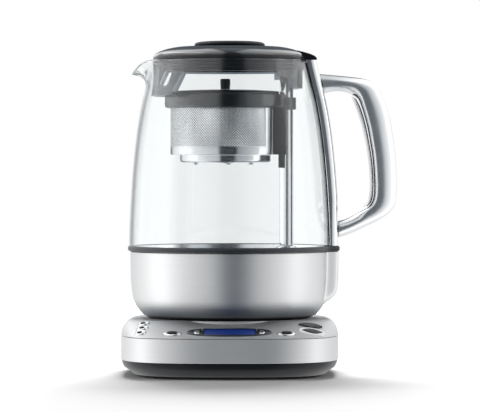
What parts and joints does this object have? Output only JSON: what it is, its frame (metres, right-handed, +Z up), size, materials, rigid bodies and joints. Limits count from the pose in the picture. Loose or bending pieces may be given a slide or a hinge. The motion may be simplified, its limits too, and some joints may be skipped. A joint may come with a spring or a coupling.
{
  "type": "automatic tea maker",
  "caption": "Glass jug tea maker with a magnet-driven steel brewing basket on a post, lift-off lid and a power base with a sloped control panel.",
  "frame": {"origin": "on the table, under the middle of the bounding box", "axes": "+Z up, the control panel faces -Y, the handle is at +X and the spout at -X"},
  "size_m": [0.2188, 0.19, 0.264],
  "materials": {
    "base_tray_black": "satin black plastic",
    "base_band_steel": "brushed along the band",
    "base_deck_silver": "silver, satin",
    "foot_rubber": "matte",
    "screw_steel": "plain steel",
    "connector_black": "satin",
    "contact_brass": "bright",
    "gland_rubber": "matte",
    "board_green": "solder mask",
    "bezel_black": "polished",
    "display_blue": "polished, lit blue",
    "surround_chrome": "bright",
    "light_ring_white": "frosted white",
    "button_chrome": "bright",
    "button_black": "polished",
    "jug_glass": "clear",
    "seal_rubber": "satin",
    "bowl_steel": "brushed round the bowl",
    "plate_steel": "fine brushed",
    "element_metal": "dull",
    "cover_black": "satin",
    "spine_silver": "silver, satin",
    "handle_chrome": "soft bright",
    "liner_silver": "silver, satin",
    "post_steel": "polished steel",
    "post_foot_grey": "satin",
    "motor_metal": "dull",
    "magnet_metal": "dull",
    "basket_steel": "fine perforated sheet",
    "basket_floor_steel": "fine brushed",
    "basket_rim_grey": "dark grey, glossy",
    "basket_lid_grey": "smoky grey, glossy",
    "knob_black": "satin",
    "lid_black": "dark grey, glossy",
    "lid_grip_black": "satin black",
    "lid_skirt_smoke": "smoky, see-through",
    "gasket_rubber": "satin"
  },
  "bodies": {
    "base": {"base_bottom": "base_tray_black", "base_band": "base_band_steel", "base_top": "base_deck_silver", "foot_ring": "foot_rubber", "base_screw_1": "screw_steel", "base_screw_2": "screw_steel", "base_screw_3": "screw_steel", "base_screw_4": "screw_steel", "base_connector": "connector_black", "connector_contact": "contact_brass", "cord_gland": "gland_rubber", "main_board": "board_green", "display_board": "board_green", "clock_button_board": "board_green", "start_button_board": "board_green", "display_bezel": "bezel_black", "display_window": "display_blue", "clock_button_surround": "surround_chrome", "start_button_light_ring": "light_ring_white"},
    "clock_button_top": {"clock_button_top": "button_chrome"},
    "clock_button_middle": {"clock_button_middle": "button_chrome"},
    "clock_button_bottom": {"clock_button_bottom": "button_chrome"},
    "tea_type_button": {"tea_type_button": "button_chrome"},
    "strength_button": {"strength_button": "button_chrome"},
    "display_minus_button": {"display_minus_button": "button_chrome"},
    "display_plus_button": {"display_plus_button": "button_chrome"},
    "hot_water_button": {"hot_water_button": "button_black"},
    "start_button": {"start_button": "button_black"},
    "jug": {"glass_jug": "jug_glass", "glass_seal": "seal_rubber", "steel_bowl": "bowl_steel", "heating_plate": "plate_steel", "heating_element": "element_metal", "temperature_sensor": "contact_brass", "underside_cover": "cover_black", "inner_frame": "cover_black", "jug_connector": "connector_black", "socket_contact": "contact_brass", "spine_housing": "spine_silver", "handle_shell": "handle_chrome", "handle_liner": "liner_silver", "lower_handle_screw": "screw_steel", "upper_handle_screw": "screw_steel", "basket_post": "post_steel", "post_foot": "post_foot_grey", "screw_bearing": "contact_brass", "lift_motor": "motor_metal"},
    "lift_screw": {"lift_screw": "screw_steel"},
    "magnet_shuttle": {"magnet_shuttle": "magnet_metal"},
    "basket": {"basket_body": "basket_steel", "basket_floor": "basket_floor_steel", "basket_rim": "basket_rim_grey", "basket_magnet": "magnet_metal"},
    "basket_lid": {"basket_lid": "basket_lid_grey", "basket_knob": "knob_black"},
    "lid": {"lid_cap": "lid_black", "lid_rim": "lid_black", "lid_grip": "lid_grip_black", "lid_skirt": "lid_skirt_smoke", "lid_gasket": "gasket_rubber"}
  },
  "joints": [
    {"name": "jug_lift", "type": "slide", "parent": "base", "child": "jug", "axis": [0, 0, 1], "range_m": [0, 0.15]},
    {"name": "lid_lift", "type": "slide", "parent": "jug", "child": "lid", "axis": [0, 0, 1], "range_m": [0, 0.15]},
    {"name": "basket_slide", "type": "slide", "parent": "jug", "child": "basket", "axis": [0, 0, 1], "range_m": [-0.06, 0]},
    {"name": "basket_lid_lift", "type": "slide", "parent": "basket", "child": "basket_lid", "axis": [0, 0, 1], "range_m": [0, 0.017]},
    {"name": "shuttle_slide", "type": "slide", "parent": "jug", "child": "magnet_shuttle", "axis": [0, 0, 1], "range_m": [-0.06, 0]},
    {"name": "lift_screw_spin", "type": "hinge", "parent": "jug", "child": "lift_screw", "pos_m": [0.02175, 0, 0.0843], "axis": [0, 0, 1], "range_deg": [-1800, 0]},
    {"name": "clock_button_top_press", "type": "slide", "parent": "base", "child": "clock_button_top", "axis": [0.2465, 0.2951, -0.9231], "range_m": [0, 0.001], "stiffness_N_per_m": 300, "springref_m": -0.002},
    {"name": "clock_button_middle_press", "type": "slide", "parent": "base", "child": "clock_button_middle", "axis": [0.273, 0.3258, -0.9052], "range_m": [0, 0.001], "stiffness_N_per_m": 300, "springref_m": -0.002},
    {"name": "clock_button_bottom_press", "type": "slide", "parent": "base", "child": "clock_button_bottom", "axis": [0.3276, 0.3414, -0.881], "range_m": [0, 0.001], "stiffness_N_per_m": 300, "springref_m": -0.002},
    {"name": "tea_type_button_press", "type": "slide", "parent": "base", "child": "tea_type_button", "axis": [0.0722, 0.3301, -0.9412], "range_m": [0, 0.001], "stiffness_N_per_m": 300, "springref_m": -0.002},
    {"name": "strength_button_press", "type": "slide", "parent": "base", "child": "strength_button", "axis": [-0.0722, 0.3301, -0.9412], "range_m": [0, 0.001], "stiffness_N_per_m": 300, "springref_m": -0.002},
    {"name": "display_minus_button_press", "type": "slide", "parent": "base", "child": "display_minus_button", "axis": [0, 0.3243, -0.9459], "range_m": [0, 0.001], "stiffness_N_per_m": 300, "springref_m": -0.002},
    {"name": "display_plus_button_press", "type": "slide", "parent": "base", "child": "display_plus_button", "axis": [0, 0.3243, -0.9459], "range_m": [0, 0.001], "stiffness_N_per_m": 300, "springref_m": -0.002},
    {"name": "hot_water_button_press", "type": "slide", "parent": "base", "child": "hot_water_button", "axis": [-0.1965, 0.3166, -0.928], "range_m": [0, 0.001], "stiffness_N_per_m": 300, "springref_m": -0.002},
    {"name": "start_button_press", "type": "slide", "parent": "base", "child": "start_button", "axis": [-0.2276, 0.3369, -0.9136], "range_m": [0, 0.001], "stiffness_N_per_m": 300, "springref_m": -0.002}
  ],
  "couplings": [
    {"joint": "shuttle_slide", "follows": "basket_slide", "ratio": 1},
    {"joint": "lift_screw_spin", "follows": "basket_slide", "rad_per_m": 523.6}
  ]
}
